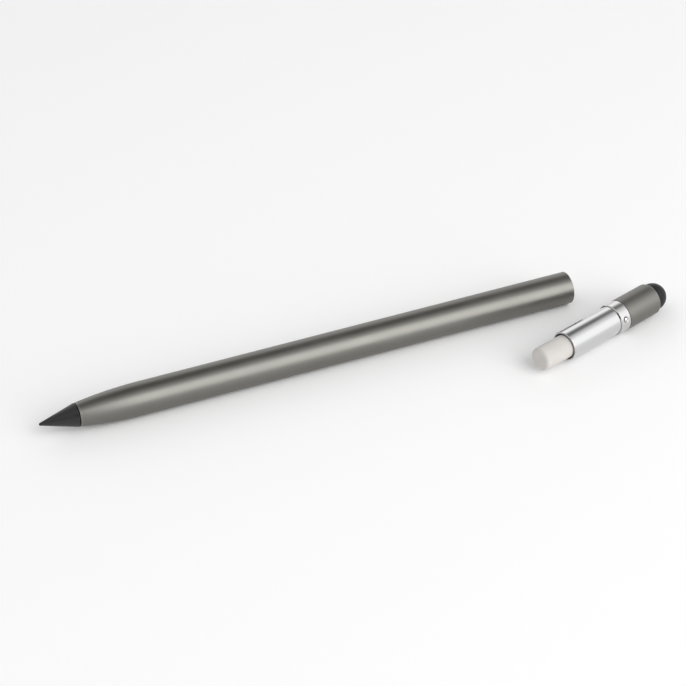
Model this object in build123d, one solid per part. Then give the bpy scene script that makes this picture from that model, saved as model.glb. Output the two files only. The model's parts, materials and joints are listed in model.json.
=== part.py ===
from build123d import *
from math import acos, atan2, cos, hypot, pi, sin, sqrt
import os

# Inkless pencil: a thin metal barrel with a graphite nib, and the end plug that
# closes it, drawn out and laid beside the mouth. Millimetres, +Z up. The barrel
# lies along X with its nib at -X; the origin is the centre of its open mouth.

# Barrel: drawn tube, swaged to an ogive nose
barrel_diameter = 8.0
barrel_wall = 0.3
barrel_length = 127.8
nose_length = 15.5
nose_end_diameter = 5.72
mouth_bevel = 0.2
nose_edge_bevel = 0.12

# Nib: cone with a rounded point, on a stud that screws into a bush in the nose
nib_length = 9.15
nib_base_inset = 0.0
nib_point_radius = 0.38
nib_base_bevel = 0.2
nib_seat_gap = 0.1
bush_length = 8.0
bush_glue_gap = 0.02
thread_diameter = 3.0
thread_engagement = 4.0
thread_gap = 0.06
stud_spigot_diameter = 2.0
stud_spigot_length = 3.0
stud_spigot_gap = 0.05

# End plug, measured from the front face of its sleeve: the eraser points to -X
sleeve_length = 10.8
sleeve_wall = 0.7
sleeve_rear_round = 0.5
sleeve_front_bevel = 0.08
sleeve_groove_depth = 0.3
sleeve_lip_length = 0.8
sleeve_lip_overhang = 0.14
collar_inset = 0.05
collar_length = 3.35
collar_edge_bevel = 0.1
nub_diameter = 1.35
nub_height = 0.3
nub_angle = 68.0
holder_length = 16.0
holder_wall = 0.55
holder_rim_bevel = 0.25
holder_web = 1.0
spigot_depth = 4.6
spigot_wall = 0.6
plug_clearance = 0.05
glue_gap = 0.02
eraser_gap = 0.2
eraser_length = 17.5
eraser_out = 8.6
eraser_end_round = 0.8
socket_floor_gap = 0.1

# Stylus: hollow rubber dome, its flange held in the sleeve's groove by a core behind it
dome_wall = 0.8
dome_skirt = 1.2
dome_gap = 0.03
flange_thickness = 0.8
core_nose_length = 1.2
core_nose_gap = 0.1
core_wall = 0.9

# An edge's round or bevel takes at most this share of the wall that it is on
edge_limit = 0.95

# Where the drawn plug lies: its sleeve's front centre and its turn from the barrel
lay_x = 5.8
lay_y = -16.0
lay_angle = 17.8

# Values that follow from the ones above
barrel_r = barrel_diameter / 2
bore_r = barrel_r - barrel_wall
nose_x = -barrel_length
nose_start_x = nose_x + nose_length
nose_end_r = nose_end_diameter / 2
nose_drop = barrel_r - nose_end_r
nose_arc_r = (nose_length**2 + nose_drop**2) / (2 * nose_drop)
thread_r = thread_diameter / 2
stud_spigot_r = stud_spigot_diameter / 2
nib_x = nose_x - nib_seat_gap
nib_base_r = nose_end_r - nib_base_inset
sleeve_bore_r = barrel_r - sleeve_wall
collar_r = barrel_r - collar_inset
spigot_r = sleeve_bore_r - glue_gap
holder_r = bore_r - plug_clearance
socket_r = holder_r - holder_wall
eraser_r = socket_r - eraser_gap
holder_x = -collar_length - holder_length
eraser_x = holder_x - eraser_out
socket_floor_x = eraser_x + eraser_length + socket_floor_gap
groove_r = sleeve_bore_r + sleeve_groove_depth
dome_r = groove_r - sleeve_lip_overhang - dome_gap
dome_inner_r = dome_r - dome_wall
flange_x = sleeve_length - sleeve_lip_length - flange_thickness
dome_centre_x = sleeve_length + dome_skirt


def turned(*edges):
    """Solid of revolution about X from the edges of a closed half section."""
    return revolve(make_face(edges), Axis.X)


def rod(x, length, radius):
    """Cylinder along X from x to x + length."""
    along_x = Location((x, 0, 0), (0, 90, 0))
    return along_x * Cylinder(radius, length, align=(Align.CENTER, Align.CENTER, Align.MIN))


def rim(solid, x, radius):
    """The circular edges of a turned solid at one place along X and one radius."""
    near = 1e-4
    circles = solid.edges().filter_by(GeomType.CIRCLE)
    in_plane = [edge for edge in circles if abs(edge.arc_center.X - x) < near]
    return [edge for edge in in_plane if abs(edge.radius - radius) < near]


def barrel():
    """Tube with a wall of one thickness; the nose is an arc tangent to the tube."""
    nose_bore_r = nose_end_r - barrel_wall
    tube = turned(
        Line((0, bore_r), (0, barrel_r)),
        Line((0, barrel_r), (nose_start_x, barrel_r)),
        TangentArc((nose_start_x, barrel_r), (nose_x, nose_end_r), tangent=(-1, 0)),
        Line((nose_x, nose_end_r), (nose_x, nose_bore_r)),
        TangentArc((nose_start_x, bore_r), (nose_x, nose_bore_r), tangent=(-1, 0)),
        Line((nose_start_x, bore_r), (0, bore_r)),
    )
    tube = chamfer(rim(tube, nose_x, nose_end_r), min(nose_edge_bevel, edge_limit * barrel_wall))
    return chamfer(rim(tube, 0, barrel_r), min(mouth_bevel, edge_limit * barrel_wall))


def nose_bush():
    """Tapered insert glued into the nose, bored right through for the stud's thread."""
    hole_r = thread_r + thread_gap
    mouth_r = nose_end_r - barrel_wall - bush_glue_gap
    back_x = nose_x + bush_length
    fallen = max(nose_start_x - back_x, 0)
    back_r = bore_r - nose_arc_r + sqrt(nose_arc_r**2 - fallen**2) - bush_glue_gap
    return turned(
        Line((nose_x, hole_r), (nose_x, mouth_r)),
        Line((nose_x, mouth_r), (back_x, back_r)),
        Line((back_x, back_r), (back_x, hole_r)),
        Line((back_x, hole_r), (nose_x, hole_r)),
    )


def nib_stud():
    """Threaded stud in the bush, with a thinner spigot that stands in the nib."""
    thread = rod(nib_x, thread_engagement + nib_seat_gap, thread_r)
    spigot = rod(nib_x - stud_spigot_length, stud_spigot_length, stud_spigot_r)
    return thread + spigot


def nib():
    """Cone tangent to the ball of its point, bored behind for the stud's spigot."""
    point_x = nib_x - nib_length
    ball_x = point_x + nib_point_radius
    run = nib_x - nib_base_bevel - ball_x
    turn = atan2(nib_base_r, run) + acos(nib_point_radius / hypot(run, nib_base_r))

    def on_ball(angle):
        return ball_x + nib_point_radius * cos(angle), nib_point_radius * sin(angle)

    cone = turned(
        Line((nib_x, 0), (nib_x, nib_base_r - nib_base_bevel)),
        Line((nib_x, nib_base_r - nib_base_bevel), (nib_x - nib_base_bevel, nib_base_r)),
        Line((nib_x - nib_base_bevel, nib_base_r), on_ball(turn)),
        ThreePointArc(on_ball(turn), on_ball((turn + pi) / 2), (point_x, 0)),
        Line((point_x, 0), (nib_x, 0)),
    )
    socket_depth = stud_spigot_length + stud_spigot_gap
    return cone - rod(nib_x - socket_depth, socket_depth, stud_spigot_r + stud_spigot_gap)


def plug_sleeve():
    """Tube of the barrel's diameter, grooved near the rear, with a lip behind the groove."""
    lip_x = flange_x + flange_thickness
    lip_r = dome_r + dome_gap
    tube = rod(0, sleeve_length, barrel_r) - rod(0, flange_x, sleeve_bore_r)
    tube -= rod(flange_x, flange_thickness, groove_r) + rod(lip_x, sleeve_lip_length, lip_r)
    tube = chamfer(rim(tube, 0, barrel_r), sleeve_front_bevel)
    rear_round = min(sleeve_rear_round, edge_limit * (barrel_r - lip_r))
    return fillet(rim(tube, sleeve_length, barrel_r), rear_round)


def plug_collar():
    """Trim ring against the sleeve, with one low round nub on its side."""
    ring = rod(-collar_length, collar_length, collar_r)
    ring = chamfer(rim(ring, -collar_length, collar_r), collar_edge_bevel)
    ball_r = ((nub_diameter / 2) ** 2 + nub_height**2) / (2 * nub_height)
    around = Location((-collar_length / 2, 0, 0), (nub_angle, 0, 0))
    nub = around * Pos(0, 0, collar_r + nub_height - ball_r) * Sphere(ball_r)
    return ring + nub - rod(-collar_length, collar_length, sleeve_bore_r)


def eraser_holder():
    """Tube that slides into the barrel, with an eraser socket and a stepped spigot."""
    body = rod(holder_x, holder_length, holder_r)
    body = chamfer(rim(body, holder_x, holder_r), min(holder_rim_bevel, edge_limit * holder_wall))
    body += rod(-collar_length, collar_length + spigot_depth, spigot_r)
    body -= rod(holder_x, socket_floor_x - holder_x, socket_r)
    rear_x = socket_floor_x + holder_web
    return body - rod(rear_x, spigot_depth - rear_x, spigot_r - spigot_wall)


def eraser():
    """Round eraser with a softened end, seated in the holder's socket."""
    stick = rod(eraser_x, eraser_length, eraser_r)
    return fillet(rim(stick, eraser_x, eraser_r), eraser_end_round)


def stylus_core():
    """Cup between the holder's spigot and the dome, with a nose inside the dome."""
    nose_r = dome_inner_r - core_nose_gap
    length = flange_x - spigot_depth
    cup = rod(spigot_depth, length, spigot_r) + rod(flange_x, core_nose_length, nose_r)
    return cup - rod(spigot_depth, length + core_nose_length - core_wall, nose_r - core_wall)


def stylus_dome():
    """Hollow half ball on a skirt, with a flange that sits in the sleeve's groove."""
    lip_x = flange_x + flange_thickness
    flange_r = groove_r - glue_gap
    return turned(
        Line((flange_x, dome_inner_r), (flange_x, flange_r)),
        Line((flange_x, flange_r), (lip_x, flange_r)),
        Line((lip_x, flange_r), (lip_x, dome_r)),
        Line((lip_x, dome_r), (dome_centre_x, dome_r)),
        TangentArc((dome_centre_x, dome_r), (dome_centre_x + dome_r, 0), tangent=(1, 0)),
        Line((dome_centre_x + dome_r, 0), (dome_centre_x + dome_inner_r, 0)),
        TangentArc((dome_centre_x, dome_inner_r), (dome_centre_x + dome_inner_r, 0), tangent=(1, 0)),
        Line((dome_centre_x, dome_inner_r), (flange_x, dome_inner_r)),
    )


barrel_pieces = {
    "barrel": barrel(),
    "nose_bush": nose_bush(),
    "nib_stud": nib_stud(),
    "nib": nib(),
}
plug_pieces = {
    "plug_sleeve": plug_sleeve(),
    "plug_collar": plug_collar(),
    "eraser_holder": eraser_holder(),
    "eraser": eraser(),
    "stylus_core": stylus_core(),
    "stylus_dome": stylus_dome(),
}

# Pushed home, the collar meets the mouth: nothing of the plug may cut the barrel
seated = Pos(collar_length, 0, 0)
overlap = sum((seated * piece & barrel_pieces["barrel"]).volume for piece in plug_pieces.values())
stroke = holder_length + eraser_out
print(f"plug pushed home: {overlap:.4f} mm3 shared with the barrel, stroke {stroke:.2f} mm")

laid = Location((lay_x, lay_y, 0), (0, 0, lay_angle))
pieces = barrel_pieces | {name: laid * piece for name, piece in plug_pieces.items()}
os.makedirs("parts", exist_ok=True)
for name, piece in pieces.items():
    piece.label = name
    export_step(piece, f"parts/{name}.step")
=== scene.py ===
import json
import math

import bpy
import numpy as np
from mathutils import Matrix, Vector


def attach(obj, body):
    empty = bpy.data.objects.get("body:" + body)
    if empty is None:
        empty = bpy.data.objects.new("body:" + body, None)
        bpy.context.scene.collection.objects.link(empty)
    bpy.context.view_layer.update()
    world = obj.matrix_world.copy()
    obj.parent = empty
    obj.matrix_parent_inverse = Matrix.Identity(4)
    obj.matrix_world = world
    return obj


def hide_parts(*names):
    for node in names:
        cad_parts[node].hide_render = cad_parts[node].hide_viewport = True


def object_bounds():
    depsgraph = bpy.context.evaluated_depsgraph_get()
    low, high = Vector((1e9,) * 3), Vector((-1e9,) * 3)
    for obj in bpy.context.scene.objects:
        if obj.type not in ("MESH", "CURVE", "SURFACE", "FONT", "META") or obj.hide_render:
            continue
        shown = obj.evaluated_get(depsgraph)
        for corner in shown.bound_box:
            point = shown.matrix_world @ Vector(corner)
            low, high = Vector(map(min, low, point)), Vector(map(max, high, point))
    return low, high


# The frame: an inkless metal pencil lying on a white table, its barrel along X with the nib at -X,
# and its end plug drawn out and laid beside the mouth. Metres, +Z up.
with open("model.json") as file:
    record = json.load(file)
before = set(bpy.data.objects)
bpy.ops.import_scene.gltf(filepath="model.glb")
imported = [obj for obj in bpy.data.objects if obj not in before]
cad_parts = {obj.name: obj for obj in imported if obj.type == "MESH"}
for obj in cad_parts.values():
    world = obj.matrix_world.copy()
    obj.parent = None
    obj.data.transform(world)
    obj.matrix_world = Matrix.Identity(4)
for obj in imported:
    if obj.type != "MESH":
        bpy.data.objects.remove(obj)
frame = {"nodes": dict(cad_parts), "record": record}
cad_low, cad_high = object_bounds()
mounts = {mount["name"]: mount for mount in frame["record"]["mounts"]}

# Barrel: a drawn aluminium tube, its nose swaged to an ogive, bead-blasted and anodised in a warm
# gunmetal. One thin wall runs from the rounded mouth to the nose, with bare metal on the rims.
MM = 0.001
ROUND_STEPS = 192
SHARP_EDGE = math.radians(40)
barrel_origin = np.zeros(3)
barrel_axis = np.array([1.0, 0.0, 0.0])
mouth_round = 0.22 * MM
mouth_inner_round = 0.06 * MM
nose_round = 0.12 * MM
nose_points = 28
gunmetal_colours = ((0.184, 0.180, 0.165, 1), (0.212, 0.208, 0.191, 1))
gunmetal_bared = (0.34, 0.335, 0.32, 1)
gunmetal_roughness = (0.38, 0.44)


def reach(node, origin, axis):
    """Lowest and highest place of a CAD node along an axis through origin, and its largest radius."""
    mesh = frame["nodes"][node].data
    points = np.empty(len(mesh.vertices) * 3, np.float32)
    mesh.vertices.foreach_get("co", points)
    from_origin = points.reshape(-1, 3).astype(float) - origin
    along = from_origin @ axis
    away = np.linalg.norm(from_origin - np.outer(along, axis), axis=1)
    return along.min(), along.max(), away.max()


def rounded(corners, arc_points=9, arc_step=0.1 * MM, long=1.0 * MM, margin=0.03 * MM, touching=1e-9):
    """Outline of a turned piece, in rows of place along the axis, radius and wear.

    A corner is a place, a radius and a round. The round is an arc that touches both sides of the
    corner, round / tan(half the angle between them) away from it, and it is where the finish wears.
    From the arc's centre its points lie at (sin((1 - share) * sweep) * first + sin(share * sweep) *
    last) / sin(sweep), as share goes from 0 to 1. A long straight stretch gets a point close to each
    of its ends, so that it shades flat, and of two points that touch one is left out.
    """
    corners = np.array(corners, float)
    before = np.roll(corners, 1, axis=0)
    after = np.roll(corners, -1, axis=0)
    stretches = []
    for (*point, bend), back, ahead in zip(corners, before, after):
        if bend == 0:
            stretches.append([[*point, 0.0]])
            continue
        to_back = (back[:2] - point) / np.linalg.norm(back[:2] - point)
        to_ahead = (ahead[:2] - point) / np.linalg.norm(ahead[:2] - point)
        half = math.acos(np.clip(to_back @ to_ahead, -1, 1)) / 2
        middle = (to_back + to_ahead) / np.linalg.norm(to_back + to_ahead)
        centre = point + middle * bend / math.sin(half)
        first = point + to_back * bend / math.tan(half) - centre
        last = point + to_ahead * bend / math.tan(half) - centre
        sweep = math.pi - 2 * half
        share = np.linspace(0, 1, arc_points + int(bend / arc_step))[:, None]
        arc = (np.sin((1 - share) * sweep) * first + np.sin(share * sweep) * last) / math.sin(sweep)
        stretches.append(np.column_stack([centre + arc, np.ones(len(arc))]))
    outline = np.vstack(stretches)
    onward = np.roll(outline, -1, axis=0) - outline
    length = np.linalg.norm(onward[:, :2], axis=1)
    on_axis = (outline[:, 1] == 0) & (np.roll(outline[:, 1], -1) == 0)
    at = np.flatnonzero((length > long) & ~on_axis)
    step = margin * onward[at, :2] / length[at, None]
    near = np.column_stack([outline[at, :2] + step, np.zeros(len(at))])
    far = np.column_stack([outline[at, :2] + onward[at, :2] - step, np.zeros(len(at))])
    pairs = np.stack([near, far], axis=1).reshape(-1, 3)
    outline = np.insert(outline, np.repeat(at + 1, 2), pairs, axis=0)
    gap = np.linalg.norm(np.diff(outline[:, :2], axis=0, append=outline[:1, :2]), axis=1)
    return outline[gap > touching]


def turned(name, outline, origin, axis, relief=None, wear=None, round_steps=ROUND_STEPS):
    """Surface of revolution of an outline about an axis.

    A point of the outline goes round to
    origin + along * axis + radius * (cos(turn) * side + sin(turn) * up),
    where relief(along, radius, turn) is added to the radius. The outline is a closed loop, or it runs
    from the axis back to the axis, where a pole closes each end. Its third column becomes a point
    attribute, which is wear on the gunmetal and darkening, mostly painted shade, on the chrome, and the
    function given for painted shade is added to that.
    """
    along, radius = outline[:, 0], outline[:, 1]
    if np.sum(along * np.roll(radius, -1) - np.roll(along, -1) * radius) < 0:
        outline = outline[::-1]
    has_poles = outline[0, 1] == 0
    rows = outline[1:-1] if has_poles else outline
    turn = np.linspace(0, 2 * np.pi, round_steps, endpoint=False)
    up = np.array([0.0, 0.0, 1.0])
    ring = np.outer(np.cos(turn), np.cross(up, axis)) + np.outer(np.sin(turn), up)
    radii = np.repeat(rows[:, 1:2], round_steps, axis=1)
    if relief is not None:
        radii = radii + relief(rows[:, 0:1], rows[:, 1:2], turn[None, :])
    grid = origin + rows[:, 0, None, None] * axis + radii[:, :, None] * ring
    points = grid.reshape(-1, 3)
    worn = np.repeat(rows[:, 2:3], round_steps, axis=1)
    if wear is not None:
        worn = worn + wear(rows[:, 0:1], rows[:, 1:2], turn[None, :])
    here = np.arange(len(points)).reshape(len(rows), round_steps)
    there = np.roll(here, -1, axis=0)
    quads = np.stack([here, there, np.roll(there, -1, axis=1), np.roll(here, -1, axis=1)], axis=-1)
    faces = quads[:-1].reshape(-1, 4).tolist() if has_poles else quads.reshape(-1, 4).tolist()
    if has_poles:
        first = np.full(round_steps, len(points))
        last = first + 1
        points = np.vstack([points, origin + np.outer(outline[[0, -1], 0], axis)])
        worn = np.append(worn.ravel(), [0.0, 0.0])
        faces += np.column_stack([first, here[0], np.roll(here[0], -1)]).tolist()
        faces += np.column_stack([here[-1], last, np.roll(here[-1], -1)]).tolist()
    mesh = bpy.data.meshes.new(name)
    mesh.from_pydata(points, [], faces)
    mesh.attributes.new("worn", "FLOAT", "POINT").data.foreach_set("value", worn.ravel())
    mesh.shade_smooth()
    mesh.set_sharp_from_angle(angle=SHARP_EDGE)
    piece = bpy.data.objects.new(name, mesh)
    bpy.context.collection.objects.link(piece)
    return piece


def feed(tree, node, inputs):
    """Sets a node's inputs to values, or links them to other nodes' outputs."""
    for key, value in inputs.items():
        if isinstance(value, bpy.types.NodeSocket):
            tree.links.new(value, node.inputs[key])
        else:
            node.inputs[key].default_value = value


def place(tree, kind, inputs=None, **settings):
    """Adds a node to a tree, with settings on the node and values or links on its inputs."""
    added = tree.nodes.new(kind)
    for key, value in settings.items():
        setattr(added, key, value)
    feed(tree, added, inputs or {})
    return added


def finish(name):
    """New material, its node tree and its Principled BSDF."""
    material = bpy.data.materials.new(name)
    material.use_nodes = True
    return material, material.node_tree, material.node_tree.nodes["Principled BSDF"]


def tint(tree, share, first, second):
    """Colour that goes from the first to the second as share goes from 0 to 1."""
    return place(tree, "ShaderNodeMix", {0: share, 6: first, 7: second}, data_type="RGBA").outputs[2]


def vary(tree, value, span, onto):
    """Number that goes from onto's first to its second as value goes over the span."""
    ends = {"From Min": span[0], "From Max": span[1], "To Min": onto[0], "To Max": onto[1]}
    return place(tree, "ShaderNodeMapRange", {"Value": value, **ends}).outputs["Result"]


def emboss(tree, height, strength, depth, over=None):
    """Normal of a surface with the height raised on it, over another normal where one is given."""
    inputs = {"Height": height, "Strength": strength, "Distance": depth}
    if over is not None:
        inputs["Normal"] = over
    return place(tree, "ShaderNodeBump", inputs).outputs["Normal"]


def effect(name, inputs, outputs):
    """Empty shader node group with float or vector inputs and float outputs, the sockets of its inputs
    and the node of its outputs."""
    group = bpy.data.node_groups.new(name, "ShaderNodeTree")
    for key, kind in inputs.items():
        group.interface.new_socket(key, in_out="INPUT", socket_type=kind)
    for key in outputs:
        group.interface.new_socket(key, in_out="OUTPUT", socket_type="NodeSocketFloat")
    return group, group.nodes.new("NodeGroupInput").outputs, group.nodes.new("NodeGroupOutput")


# Grain: fine speckle of a blasted, pressed or moulded surface, and broad clouding from handling.
# Both are noise from 0 to 1, and most of the clouding lies in the cloud's span.
CLOUD_SPAN = (0.3, 0.7)
grain, grain_in, grain_out = effect(
    "grain",
    {"Position": "NodeSocketVector", "Fineness": "NodeSocketFloat", "Breadth": "NodeSocketFloat"},
    ["Speckle", "Cloud"],
)
speckle = place(grain, "ShaderNodeTexNoise",
                {"Vector": grain_in["Position"], "Scale": grain_in["Fineness"], "Detail": 2.0})
cloud = place(grain, "ShaderNodeTexNoise",
              {"Vector": grain_in["Position"], "Scale": grain_in["Breadth"], "Detail": 4.0,
               "Roughness": 0.6})
feed(grain, grain_out, {"Speckle": speckle.outputs["Fac"], "Cloud": cloud.outputs["Fac"]})


def grained(tree, where, fineness, breadth):
    """Speckle and cloud of the grain in a material, with so many of each to the metre."""
    return place(tree, "ShaderNodeGroup",
                 {"Position": where, "Fineness": fineness, "Breadth": breadth}, node_tree=grain).outputs


# Rubbed edge: where an edge's round has lost its finish, broken up by noise
rubbed, rubbed_in, rubbed_out = effect(
    "rubbed_edge",
    {"Worn": "NodeSocketFloat", "Position": "NodeSocketVector"},
    ["Mask"],
)
patches = place(rubbed, "ShaderNodeTexNoise",
                {"Vector": rubbed_in["Position"], "Scale": 900.0, "Detail": 3.0})
broken = place(rubbed, "ShaderNodeMapRange",
               {"Value": patches.outputs["Fac"], "From Min": 0.35, "From Max": 0.65, "To Min": 0.15},
               interpolation_type="SMOOTHSTEP")
kept = place(rubbed, "ShaderNodeMath", {0: broken.outputs["Result"], 1: rubbed_in["Worn"]},
             operation="MULTIPLY")
feed(rubbed, rubbed_out, {"Mask": kept.outputs[0]})

gunmetal, tree, shader = finish("gunmetal_anodised")
where = place(tree, "ShaderNodeTexCoord").outputs["Object"]
worn = place(tree, "ShaderNodeAttribute", attribute_name="worn").outputs["Fac"]
blasted = grained(tree, where, fineness=9000.0, breadth=140.0)
bared = place(tree, "ShaderNodeGroup", {"Position": where, "Worn": worn}, node_tree=rubbed)
anodised = tint(tree, blasted["Cloud"], *gunmetal_colours)
feed(tree, shader, {
    "Metallic": 1.0,
    "Base Color": tint(tree, bared.outputs["Mask"], anodised, gunmetal_bared),
    "Roughness": vary(tree, blasted["Cloud"], CLOUD_SPAN, gunmetal_roughness),
    "Normal": emboss(tree, blasted["Speckle"], strength=0.25, depth=0.004 * MM),
})

socket = mounts["plug_socket"]["dims"]
nose_x, mouth_x, barrel_radius = reach("barrel", barrel_origin, barrel_axis)
nib_tip, nib_seat, nib_radius = reach("nib", barrel_origin, barrel_axis)
nose_end_radius = nib_radius
bore_radius = socket["r_mm"] * MM
barrel_wall = barrel_radius - bore_radius
nose_start = mouth_x - socket["length_mm"] * MM
nose_length = nose_start - nose_x
nose_drop = barrel_radius - nose_end_radius
nose_arc = (nose_length**2 + nose_drop**2) / (2 * nose_drop)
nose_places = np.linspace(nose_start, nose_x, nose_points)[:-1]
nose_fall = nose_arc - np.sqrt(nose_arc**2 - (nose_start - nose_places) ** 2)
nose_outside = np.column_stack([nose_places, barrel_radius - nose_fall, np.zeros(nose_points - 1)])
nose_inside = nose_outside - [0, barrel_wall, 0]
barrel_tube = turned("barrel_tube", rounded([
    (mouth_x, bore_radius, mouth_inner_round),
    (mouth_x, barrel_radius, mouth_round),
    *nose_outside,
    (nose_x, nose_end_radius, nose_round),
    (nose_x, nose_end_radius - barrel_wall, 0),
    *nose_inside[::-1],
]), barrel_origin, barrel_axis)
barrel_tube.data.materials.append(gunmetal)
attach(barrel_tube, "barrel")
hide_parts("barrel")

# Nose bush: a tapered brass insert glued into the nose, because the thin wall can't hold a thread.
# It is tapped right through, with a small countersink where the nib's stud enters.
bush_glue = 0.02 * MM
bush_front_round = 0.05 * MM
bush_back_round = 0.1 * MM
tap_radius = 1.56 * MM
tap_pitch = 0.5 * MM
tap_depth = 0.16 * MM
tap_countersink = 0.2 * MM
tap_rows_per_turn = 24
same_radius = 1e-7
FULL_SPAN = (0.0, 1.0)
brass_colours = ((0.62, 0.43, 0.17, 1), (0.78, 0.58, 0.28, 1))
brass_roughness = (0.16, 0.34)


def thread_wave(along, turn, pitch):
    """Height of a right-hand thread, from 0 in its root to 1 on its crest: (1 - cos(2 pi phase)) / 2,
    where the phase is along / pitch less the share of a full turn."""
    phase = along / pitch - turn / (2 * np.pi)
    return (1 - np.cos(2 * np.pi * phase)) / 2


def tapped(along, radius, turn):
    """Relief of the bush: its bore is cut outwards by the thread, and the rest stays plain."""
    in_bore = np.isclose(radius, tap_radius, atol=same_radius)
    return np.where(in_bore, tap_depth * (1 - thread_wave(along, turn, tap_pitch)), 0)


# Turning marks: fine rings that the lathe leaves along a turned or drawn piece
marks, marks_in, marks_out = effect("turning_marks", {"Along": "NodeSocketFloat"}, ["Rings"])
rings = place(marks, "ShaderNodeTexNoise",
              {"W": marks_in["Along"], "Scale": 14000.0, "Detail": 3.0, "Roughness": 0.6},
              noise_dimensions="1D")
feed(marks, marks_out, {"Rings": rings.outputs["Fac"]})


def lathed(tree, where):
    """Rings of the turning marks in a material, along the X of its coordinates."""
    along = place(tree, "ShaderNodeSeparateXYZ", {"Vector": where}).outputs["X"]
    return place(tree, "ShaderNodeGroup", {"Along": along}, node_tree=marks).outputs["Rings"]


brass, tree, shader = finish("brass_turned")
where = place(tree, "ShaderNodeTexCoord").outputs["Object"]
cut = lathed(tree, where)
handled = grained(tree, where, fineness=6000.0, breadth=300.0)
feed(tree, shader, {
    "Metallic": 1.0,
    "Base Color": tint(tree, handled["Cloud"], *brass_colours),
    "Roughness": vary(tree, cut, FULL_SPAN, brass_roughness),
    "Normal": emboss(tree, cut, strength=0.3, depth=0.004 * MM),
})

bush_front, bush_back, bush_radius = reach("nose_bush", barrel_origin, barrel_axis)
bush_turns = (bush_back - bush_front) / tap_pitch
tap_places = np.linspace(bush_back, bush_front + tap_countersink, int(bush_turns * tap_rows_per_turn))
nose_bush_tapped = turned("nose_bush_tapped", rounded([
    (bush_front, nose_end_radius - barrel_wall - bush_glue, bush_front_round),
    (bush_back, bush_radius, bush_back_round),
    *np.column_stack([tap_places, np.full_like(tap_places, tap_radius), np.zeros_like(tap_places)]),
    (bush_front, tap_radius + tap_countersink, 0),
]), barrel_origin, barrel_axis, relief=tapped, round_steps=ROUND_STEPS // 2)
nose_bush_tapped.data.materials.append(brass)
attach(nose_bush_tapped, "barrel")
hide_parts("nose_bush")

# Nib stud: a turned steel stud with a rolled M3 thread that screws into the bush.
# Its plain spigot is glued into the nib, so that both unscrew together.
stud_spigot_radius = 1.0 * MM
stud_tip_round = 0.15 * MM
stud_thread_depth = 0.28 * MM
stud_end_bevel = 0.3 * MM
steel_colours = ((0.46, 0.46, 0.47, 1), (0.62, 0.62, 0.63, 1))
steel_roughness = (0.2, 0.38)


def rolled(along, radius, turn):
    """Relief of the stud: the thread is sunk into its thick end, and the spigot stays plain."""
    on_thread = np.isclose(radius, stud_radius, atol=same_radius)
    return np.where(on_thread, -stud_thread_depth * (1 - thread_wave(along, turn, tap_pitch)), 0)


steel, tree, shader = finish("steel_rolled")
where = place(tree, "ShaderNodeTexCoord").outputs["Object"]
handled = grained(tree, where, fineness=7000.0, breadth=500.0)
feed(tree, shader, {
    "Metallic": 1.0,
    "Base Color": tint(tree, handled["Cloud"], *steel_colours),
    "Roughness": vary(tree, handled["Speckle"], FULL_SPAN, steel_roughness),
})

stud_tip, stud_end, stud_radius = reach("nib_stud", barrel_origin, barrel_axis)
stud_turns = (stud_end - nib_seat) / tap_pitch
stud_places = np.linspace(stud_end - stud_end_bevel, nib_seat, int(stud_turns * tap_rows_per_turn))
threaded_stud = turned("threaded_stud", rounded([
    (stud_end, 0, 0),
    (stud_end, stud_radius - stud_thread_depth, 0),
    *np.column_stack([stud_places, np.full_like(stud_places, stud_radius), np.zeros_like(stud_places)]),
    (nib_seat, stud_spigot_radius, 0),
    (stud_tip, stud_spigot_radius, stud_tip_round),
    (stud_tip, 0, 0),
]), barrel_origin, barrel_axis, relief=rolled, round_steps=ROUND_STEPS // 2)
threaded_stud.data.materials.append(steel)
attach(threaded_stud, "stud")
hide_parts("nib_stud")

# Nib: a cone pressed from graphite and metal powder, matte and dark, worn to a blunt rounded point.
# A bevel at its base leaves a fine dark joint against the nose.
nib_point_round = 0.32 * MM
nib_point_flat = 0.26 * MM
nib_base_bevel = 0.2 * MM
nib_base_round = 0.06 * MM
nib_socket_radius = 1.05 * MM
nib_socket_depth = 3.05 * MM
graphite_colours = ((0.005, 0.005, 0.0053, 1), (0.012, 0.012, 0.0124, 1))
graphite_roughness = (0.36, 0.48)

graphite, tree, shader = finish("graphite_pressed")
where = place(tree, "ShaderNodeTexCoord").outputs["Object"]
pressed = grained(tree, where, fineness=5000.0, breadth=900.0)
ringed = emboss(tree, lathed(tree, where), strength=0.2, depth=0.006 * MM)
feed(tree, shader, {
    "Metallic": 0.0,
    "Specular IOR Level": 0.55,
    "Base Color": tint(tree, pressed["Cloud"], *graphite_colours),
    "Roughness": vary(tree, pressed["Cloud"], CLOUD_SPAN, graphite_roughness),
    "Normal": emboss(tree, pressed["Speckle"], strength=0.35, depth=0.02 * MM, over=ringed),
})

graphite_nib = turned("graphite_nib", rounded([
    (nib_seat - nib_socket_depth, 0, 0),
    (nib_seat - nib_socket_depth, nib_socket_radius, 0),
    (nib_seat, nib_socket_radius, 0),
    (nib_seat, nib_radius - nib_base_bevel, 0),
    (nib_seat - nib_base_bevel, nib_radius, nib_base_round),
    (nib_tip, nib_point_flat, nib_point_round),
    (nib_tip, 0, 0),
]), barrel_origin, barrel_axis)
graphite_nib.data.materials.append(graphite)
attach(graphite_nib, "nib")
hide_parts("nib")

# Plug sleeve: a short tube of the barrel's diameter and finish, the plug's grip. Its rear edge is
# rounded over to a lip that holds the stylus dome, and its front meets the collar in a fine joint.
sleeve_wall = 0.7 * MM
sleeve_rear_round = 0.5 * MM
sleeve_front_round = 0.09 * MM
lip_length = 0.8 * MM
lip_overhang = 0.14 * MM
groove_gap = 0.02 * MM

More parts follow.
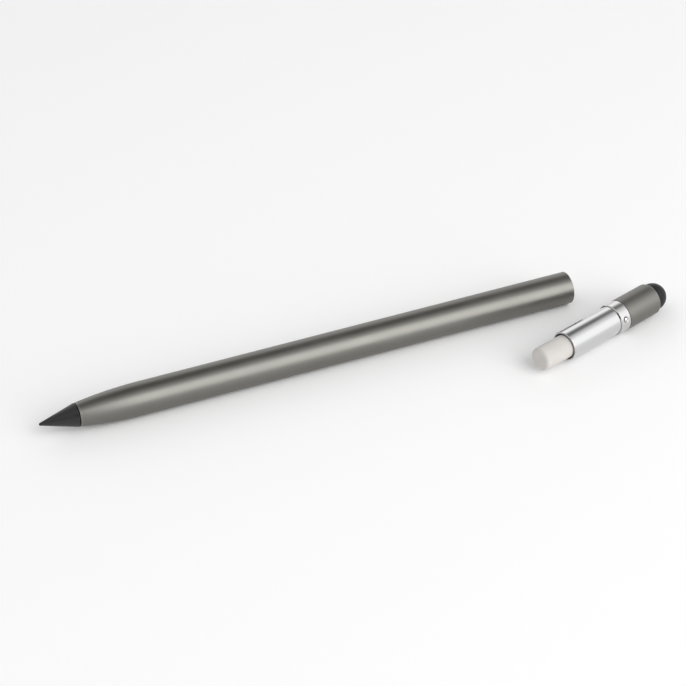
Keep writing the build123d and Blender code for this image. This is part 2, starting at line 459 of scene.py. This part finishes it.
plug_origin = np.array(mounts["plug_spigot"]["pos_m"])
plug_axis = -np.array(mounts["plug_spigot"]["axis"])
sleeve_front, sleeve_rear, sleeve_radius = reach("plug_sleeve", plug_origin, plug_axis)
flange_front, dome_tip, flange_radius = reach("stylus_dome", plug_origin, plug_axis)
sleeve_bore = sleeve_radius - sleeve_wall
groove_radius = flange_radius + groove_gap
lip_radius = groove_radius - lip_overhang
lip_front = sleeve_rear - lip_length
sleeve_outline = rounded([
    (sleeve_front, sleeve_bore, 0),
    (sleeve_front, sleeve_radius, sleeve_front_round),
    (sleeve_rear, sleeve_radius, sleeve_rear_round),
    (sleeve_rear, lip_radius, 0),
    (lip_front, lip_radius, 0),
    (lip_front, groove_radius, 0),
    (flange_front, groove_radius, 0),
    (flange_front, sleeve_bore, 0),
])
sleeve_outline[:, 2] *= sleeve_outline[:, 0] > lip_front
sleeve_tube = turned("sleeve_tube", sleeve_outline, plug_origin, plug_axis)
sleeve_tube.data.materials.append(gunmetal)
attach(sleeve_tube, "plug")
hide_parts("plug_sleeve")

# Plug collar: a chromed trim ring between sleeve and holder, against which the mouth stops. It is
# bevelled in front and has one small round nub pressed out of its side. Painted shade lies on the front
# of the bevel next to the holder and in the crease round the nub, and the ring is darker at its rear
# edge.
collar_bore = 3.3 * MM
collar_bevel = 0.26 * MM
collar_bevel_round = 0.04 * MM
collar_rear_round = 0.2 * MM
# Painted shade on the front of the bevel where it meets the holder, and a darker rear edge next to the
# sleeve.
collar_dark_rear = 0.16 * MM
collar_shaded_front = 0.1 * MM
collar_front_wear = 0.75
collar_rows = 90
nub_height = 0.3 * MM
nub_width = 1.35 * MM
nub_blend = 0.02 * MM
nub_turn = math.radians(158)
# The crease round the nub is a groove, and it is darkened with painted shade.
crease_width = 0.16 * MM
crease_depth = 0.08 * MM
collar_plating = (0.63, 0.625, 0.62, 1)
collar_roughness = (0.10, 0.16)
# Colour of the darkening on the chrome: painted shade, and the collar's darker rear edge.
darkening_colour = (0.10, 0.096, 0.09, 1)


def from_nub(along, turn):
    """Distance from the nub's middle, measured on the collar's side."""
    across = (np.mod(turn - nub_turn + np.pi, 2 * np.pi) - np.pi) * collar_radius
    return np.hypot(along - (collar_front + collar_rear) / 2, across)


def on_side(radius):
    """True for a row of the collar on its outside, and False for one in its bore."""
    return radius > (collar_bore + collar_radius) / 2


def crease_groove_and_shade(along, radius, turn):
    """Painted shade on the collar in the crease round the nub, which is also the depth of the crease's
    groove: exp(-(2 * distance / width)^2), where the distance is from the nub's edge."""
    from_edge = from_nub(along, turn) - nub_width / 2
    return np.where(on_side(radius), np.exp(-((2 * from_edge / crease_width) ** 2)), 0)


def nubbed(along, radius, turn):
    """Relief of the collar: a ball's cap, as high as the ball's surface stands over the collar at that
    distance from the nub's middle, run out to nothing by (cap + sqrt(cap^2 + blend^2)) / 2, less the
    crease round it."""
    ball = ((nub_width / 2) ** 2 + nub_height**2) / (2 * nub_height)
    cap = np.sqrt(np.maximum(ball**2 - from_nub(along, turn) ** 2, 0)) - (ball - nub_height)
    raised = np.where(on_side(radius), (cap + np.sqrt(cap**2 + nub_blend**2)) / 2, 0)
    return raised - crease_depth * crease_groove_and_shade(along, radius, turn)


chrome, tree, shader = finish("chrome_ring")
where = place(tree, "ShaderNodeTexCoord").outputs["Object"]
plug_turn = math.atan2(plug_axis[1], plug_axis[0])
squared = place(tree, "ShaderNodeMapping", {"Vector": where, "Rotation": (0, 0, -plug_turn)})
handled = grained(tree, where, fineness=5000.0, breadth=350.0)
# Darkening from the point attribute: painted shade on the front bevel and in the nub's crease, and a
# darker rear edge.
darkened = place(tree, "ShaderNodeAttribute", attribute_name="worn").outputs["Fac"]
feed(tree, shader, {
    "Metallic": 1.0,
    "Base Color": tint(tree, darkened, collar_plating, darkening_colour),
    "Roughness": vary(tree, handled["Cloud"], CLOUD_SPAN, collar_roughness),
    "Normal": emboss(tree, lathed(tree, squared.outputs["Vector"]), strength=0.2, depth=0.003 * MM),
})

collar_front, collar_rear, nub_top = reach("plug_collar", plug_origin, plug_axis)
collar_radius = nub_top - nub_height
collar_places = np.linspace(collar_front + 2 * collar_bevel, collar_rear - 2 * collar_rear_round,
                            collar_rows)
collar_outline = rounded([
    (collar_rear, collar_bore, 0),
    (collar_front, collar_bore, 0),
    (collar_front, collar_radius - collar_bevel, collar_bevel_round),
    (collar_front + collar_bevel, collar_radius, collar_bevel_round),
    *np.column_stack([collar_places, np.full(collar_rows, collar_radius), np.zeros(collar_rows)]),
    (collar_rear, collar_radius, collar_rear_round),
])
collar_along = collar_outline[:, 0]
# The third column holds painted shade on the front of the bevel and a darker rear edge.
collar_outline[:, 2] = np.where(collar_along < collar_front + collar_shaded_front, collar_front_wear,
                                collar_along > collar_rear - collar_dark_rear)
# The crease round the nub gets painted shade as well as its groove.
collar_ring = turned("collar_ring", collar_outline, plug_origin, plug_axis, relief=nubbed, wear=crease_groove_and_shade,
                     round_steps=2 * ROUND_STEPS)
collar_ring.data.materials.append(chrome)
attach(collar_ring, "plug")
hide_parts("plug_collar")

# Eraser holder: a polished chrome tube that slides into the barrel. Its open front, with painted shade
# inside the rim, holds the eraser, a web closes the socket behind it, and a thinner spigot is glued
# into the collar and the sleeve.
holder_wall = 0.55 * MM
holder_rim_round = 0.12 * MM
holder_inner_round = 0.12 * MM
# Inside this much of the rim, the opening gets painted shade: darker colour and a rougher finish.
holder_unshaded_rim = 0.2 * MM
holder_web = 1.0 * MM
socket_floor_gap = 0.1 * MM
socket_floor_round = 0.2 * MM
spigot_glue = 0.02 * MM
spigot_wall = 0.6 * MM
holder_plating = (0.63, 0.63, 0.635, 1)
holder_roughness = (0.12, 0.18)
holder_shaded_roughness = 0.5

polished, tree, shader = finish("chrome_polished")
where = place(tree, "ShaderNodeTexCoord").outputs["Object"]
handled = grained(tree, where, fineness=4000.0, breadth=250.0)
# Painted shade in the holder's opening: darker colour and rougher finish.
darkened = place(tree, "ShaderNodeAttribute", attribute_name="worn").outputs["Fac"]
buffed = vary(tree, handled["Cloud"], CLOUD_SPAN, holder_roughness)
dulled = place(tree, "ShaderNodeMix", {0: darkened, 2: buffed, 3: holder_shaded_roughness})
feed(tree, shader, {
    "Metallic": 1.0,
    "Base Color": tint(tree, darkened, holder_plating, darkening_colour),
    "Roughness": dulled.outputs[0],
})

holder_front, holder_rear, holder_radius = reach("eraser_holder", plug_origin, plug_axis)
eraser_end, eraser_seat, eraser_radius = reach("eraser", plug_origin, plug_axis)
socket_radius = holder_radius - holder_wall
socket_floor = eraser_seat + socket_floor_gap
spigot_radius = sleeve_bore - spigot_glue
holder_outline = rounded([
    (socket_floor, 0, 0),
    (socket_floor, socket_radius, socket_floor_round),
    (holder_front, socket_radius, holder_inner_round),
    (holder_front, holder_radius, holder_rim_round),
    (collar_front, holder_radius, 0),
    (collar_front, spigot_radius, 0),
    (holder_rear, spigot_radius, 0),
    (holder_rear, spigot_radius - spigot_wall, 0),
    (socket_floor + holder_web, spigot_radius - spigot_wall, 0),
    (socket_floor + holder_web, 0, 0),
])
# The opening inside the outer rim gets painted shade.
in_shaded_opening = holder_outline[:, 0] < socket_floor + holder_web / 2
holder_outline[:, 2] = in_shaded_opening & (holder_outline[:, 1] < holder_radius - holder_unshaded_rim)
holder_tube = turned("holder_tube", holder_outline, plug_origin, plug_axis)
holder_tube.data.materials.append(polished)
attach(holder_tube, "plug")
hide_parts("eraser_holder")

# Eraser: a moulded stick of off-white vinyl, pushed into the holder with a little room round it.
# It is soft, so its edges are rounded and its side isn't quite true.
eraser_end_round = 0.8 * MM
eraser_seat_round = 0.3 * MM
eraser_rows = 40
eraser_unevenness = 0.015 * MM
eraser_broad_wave = 2.1 * MM
eraser_fine_wave = 1.3 * MM
eraser_fine_share = 0.6
vinyl_colours = ((0.55, 0.53, 0.503, 1), (0.63, 0.61, 0.583, 1))
vinyl_roughness = (0.58, 0.72)


def uneven(along, radius, turn):
    """Relief of the eraser: a broad wave, sin(2 turn + along / its length), and a share of a finer one,
    sin(3 turn - along / its length), scaled by the radius squared so that the ends stay closed."""
    broad = np.sin(2 * turn + along / eraser_broad_wave)
    fine = np.sin(3 * turn - along / eraser_fine_wave)
    return eraser_unevenness * (broad + eraser_fine_share * fine) * (radius / eraser_radius) ** 2


vinyl, tree, shader = finish("eraser_vinyl")
where = place(tree, "ShaderNodeTexCoord").outputs["Object"]
moulded = grained(tree, where, fineness=3500.0, breadth=350.0)
feed(tree, shader, {
    "Metallic": 0.0,
    "Specular IOR Level": 0.35,
    "Subsurface Weight": 0.15,
    "Subsurface Scale": 0.6 * MM,
    "Base Color": tint(tree, moulded["Cloud"], *vinyl_colours),
    "Roughness": vary(tree, moulded["Cloud"], FULL_SPAN, vinyl_roughness),
    "Normal": emboss(tree, moulded["Speckle"], strength=0.25, depth=0.03 * MM),
})

eraser_places = np.linspace(eraser_end + 2 * eraser_end_round, eraser_seat - 2 * eraser_seat_round,
                            eraser_rows)
eraser_stick = turned("eraser_stick", rounded([
    (eraser_end, 0, 0),
    (eraser_end, eraser_radius, eraser_end_round),
    *np.column_stack([eraser_places, np.full(eraser_rows, eraser_radius), np.zeros(eraser_rows)]),
    (eraser_seat, eraser_radius, eraser_seat_round),
    (eraser_seat, 0, 0),
]), plug_origin, plug_axis, relief=uneven)
eraser_stick.data.materials.append(vinyl)
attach(eraser_stick, "eraser")
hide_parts("eraser")

# Stylus core: a moulded nylon cup pressed on the holder's spigot inside the sleeve.
# Its shoulder clamps the dome's flange against the lip, and its nose fills the dome's foot.
core_nose_radius = 2.53 * MM
core_nose_round = 0.3 * MM
core_foot_round = 0.1 * MM
core_hollow_radius = 1.63 * MM
core_end_wall = 0.9 * MM
nylon_colours = ((0.10, 0.10, 0.10, 1), (0.14, 0.14, 0.14, 1))
nylon_roughness = (0.4, 0.55)

nylon, tree, shader = finish("nylon_moulded")
where = place(tree, "ShaderNodeTexCoord").outputs["Object"]
moulded = grained(tree, where, fineness=4000.0, breadth=400.0)
feed(tree, shader, {
    "Metallic": 0.0,
    "Base Color": tint(tree, moulded["Cloud"], *nylon_colours),
    "Roughness": vary(tree, moulded["Cloud"], FULL_SPAN, nylon_roughness),
})

core_foot, core_nose, core_radius = reach("stylus_core", plug_origin, plug_axis)
core_cup = turned("core_cup", rounded([
    (core_nose - core_end_wall, 0, 0),
    (core_nose - core_end_wall, core_hollow_radius, 0),
    (core_foot, core_hollow_radius, 0),
    (core_foot, core_radius, core_foot_round),
    (flange_front, core_radius, 0),
    (flange_front, core_nose_radius, 0),
    (core_nose, core_nose_radius, core_nose_round),
    (core_nose, 0, 0),
]), plug_origin, plug_axis)
core_cup.data.materials.append(nylon)
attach(core_cup, "plug")
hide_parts("stylus_core")

# Stylus dome: a hollow half ball of black conductive rubber for touch screens, moulded in one with
# a flange that the core clamps behind the sleeve's lip.
dome_gap = 0.03 * MM
dome_wall = 0.8 * MM
dome_dimple = 0.008 * MM
dome_broad_start = 1.0
dome_fine_wave = 0.8 * MM
dome_fine_share = 0.5
rubber_colours = ((0.006, 0.006, 0.0065, 1), (0.012, 0.012, 0.0125, 1))
rubber_roughness = (0.40, 0.52)


def sagging(along, radius, turn):
    """Relief of the dome: a broad wave, sin(3 turn + its start), and a share of a finer one,
    sin(5 turn + along / its length), which fade to nothing at the tip and inside the sleeve."""
    outside = np.clip((along - sleeve_rear) / dome_radius, 0, 1) * (radius / dome_radius)
    broad = np.sin(3 * turn + dome_broad_start)
    fine = np.sin(5 * turn + along / dome_fine_wave)
    return dome_dimple * outside * (broad + dome_fine_share * fine)


rubber, tree, shader = finish("dome_rubber")
where = place(tree, "ShaderNodeTexCoord").outputs["Object"]
moulded = grained(tree, where, fineness=6000.0, breadth=500.0)
feed(tree, shader, {
    "Metallic": 0.0,
    "Specular IOR Level": 0.28,
    "Base Color": tint(tree, moulded["Cloud"], *rubber_colours),
    "Roughness": vary(tree, moulded["Cloud"], CLOUD_SPAN, rubber_roughness),
    "Normal": emboss(tree, moulded["Speckle"], strength=0.2, depth=0.01 * MM),
})

dome_radius = lip_radius - dome_gap
dome_inner = dome_radius - dome_wall
rubber_dome = turned("rubber_dome", rounded([
    (dome_tip - dome_wall, 0, 0),
    (dome_tip - dome_wall, dome_inner, dome_inner),
    (flange_front, dome_inner, 0),
    (flange_front, flange_radius, 0),
    (lip_front, flange_radius, 0),
    (lip_front, dome_radius, 0),
    (dome_tip, dome_radius, dome_radius),
    (dome_tip, 0, 0),
]), plug_origin, plug_axis, relief=sagging)
rubber_dome.data.materials.append(rubber)
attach(rubber_dome, "plug")
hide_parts("stylus_dome")

# Table: a flat matte white sheet that the pencil lies on.
# It is broad enough to fill the view and to show in the metal.
table_reach = 6.0
table_white = (0.97, 0.97, 0.97, 1)

paper, tree, shader = finish("table_white")
feed(tree, shader, {"Base Color": table_white, "Roughness": 0.9, "Specular IOR Level": 0.1})
corners = np.array([[-1, -1], [1, -1], [1, 1], [-1, 1]]) * table_reach / 2
table_mesh = bpy.data.meshes.new("table")
table_mesh.from_pydata(np.column_stack([corners, np.full(4, cad_low.z)]), [], [(0, 1, 2, 3)])
table = bpy.data.objects.new("table", table_mesh)
bpy.context.collection.objects.link(table)
table.data.materials.append(paper)

# Studio: white walls all round, plain near the table. Higher up, a dim ceiling from overhead to the
# bright back wall draws the dark band along the metal, and the dim room round the camera edges the
# chrome. A white card lights the end plug, and a tall softbox in front draws the barrel's highlight.
wall_light = 0.86
wall_plain_below = math.radians(8)
wall_patched_above = math.radians(13)
wall_patches = {
    "overhead": {"toward": (-0.06, 0.02, 0.998), "inner": 4, "outer": 26, "share": 0.5},
    "ceiling": {"toward": (0.24, 0.41, 0.88), "inner": 10, "outer": 31, "share": 0.08},
    "back_wall": {"toward": (0.33, 0.92, 0.21), "inner": 10, "outer": 38, "share": 1.5},
    "camera_room": {"toward": (-0.45, -0.84, 0.30), "inner": 22, "outer": 42, "share": 0.14},
}
card = {"toward": (0.73, -0.51, 0.45), "inner": 6, "outer": 38, "share": 1.65}
softbox_size = (0.95, 1.15)
softbox_away = 1.2
softbox_watts = 8.5
softbox_toward = np.array([0.335, -0.770, 0.543])

studio = bpy.data.worlds.new("studio")
studio.use_nodes = True
tree = studio.node_tree
look = place(tree, "ShaderNodeTexCoord").outputs["Generated"]


def patched(level, patch):
    """Light of the walls with a soft round patch on it: times the patch's share within inner degrees of
    its middle, and times 1 past outer degrees."""
    near = place(tree, "ShaderNodeVectorMath", {0: look, 1: patch["toward"]}, operation="DOT_PRODUCT")
    share = place(tree, "ShaderNodeMapRange",
                  {"Value": near.outputs["Value"], "From Min": math.cos(math.radians(patch["outer"])),
                   "From Max": math.cos(math.radians(patch["inner"])), "To Min": 1.0,
                   "To Max": patch["share"]},
                  interpolation_type="SMOOTHSTEP")
    lit = place(tree, "ShaderNodeMath", {0: level, 1: share.outputs["Result"]}, operation="MULTIPLY")
    return lit.outputs[0]


level = wall_light
for patch in wall_patches.values():
    level = patched(level, patch)
height = place(tree, "ShaderNodeSeparateXYZ", {"Vector": look}).outputs["Z"]
risen = place(tree, "ShaderNodeMapRange",
              {"Value": height, "From Min": math.sin(wall_plain_below),
               "From Max": math.sin(wall_patched_above)},
              interpolation_type="SMOOTHSTEP")
level = place(tree, "ShaderNodeMix", {0: risen.outputs["Result"], 2: wall_light, 3: level}).outputs[0]
feed(tree, tree.nodes["Background"], {"Color": (1, 1, 1, 1), "Strength": patched(level, card)})
bpy.context.scene.world = studio

barrel_middle = np.array([(nose_x + mouth_x) / 2, 0, 0])
softbox = bpy.data.lights.new("softbox", "AREA")
softbox.shape = "RECTANGLE"
softbox.size, softbox.size_y = softbox_size
softbox.energy = softbox_watts
lamp = bpy.data.objects.new("softbox", softbox)
lamp.location = barrel_middle + softbox_toward * softbox_away
lamp.rotation_mode = "QUATERNION"
lamp.rotation_quaternion = Vector(-softbox_toward).to_track_quat("-Z", "Y")
bpy.context.collection.objects.link(lamp)

# Camera: a long lens above the table, on the nib's side.
# It looks down at the pencil and takes in both the barrel and the plug beside it.
camera_lens = 122.31
camera_away = 0.559
camera_swing = math.radians(-24.08)
camera_tilt = math.radians(35.54)
camera_aim = Vector((-0.06052, 0.00080, 0.00012))

lens = bpy.data.cameras.new("camera")
lens.lens = camera_lens
lens.clip_start = 0.01
lens.clip_end = 10.0
camera = bpy.data.objects.new("camera", lens)
backward = Vector((
    math.sin(camera_swing) * math.cos(camera_tilt),
    -math.cos(camera_swing) * math.cos(camera_tilt),
    math.sin(camera_tilt),
))
camera.location = camera_aim + camera_away * backward
camera.rotation_mode = "QUATERNION"
camera.rotation_quaternion = (-backward).to_track_quat("-Z", "Y")
bpy.context.collection.objects.link(camera)
bpy.context.scene.camera = camera
bpy.context.scene.view_settings.view_transform = "Standard"
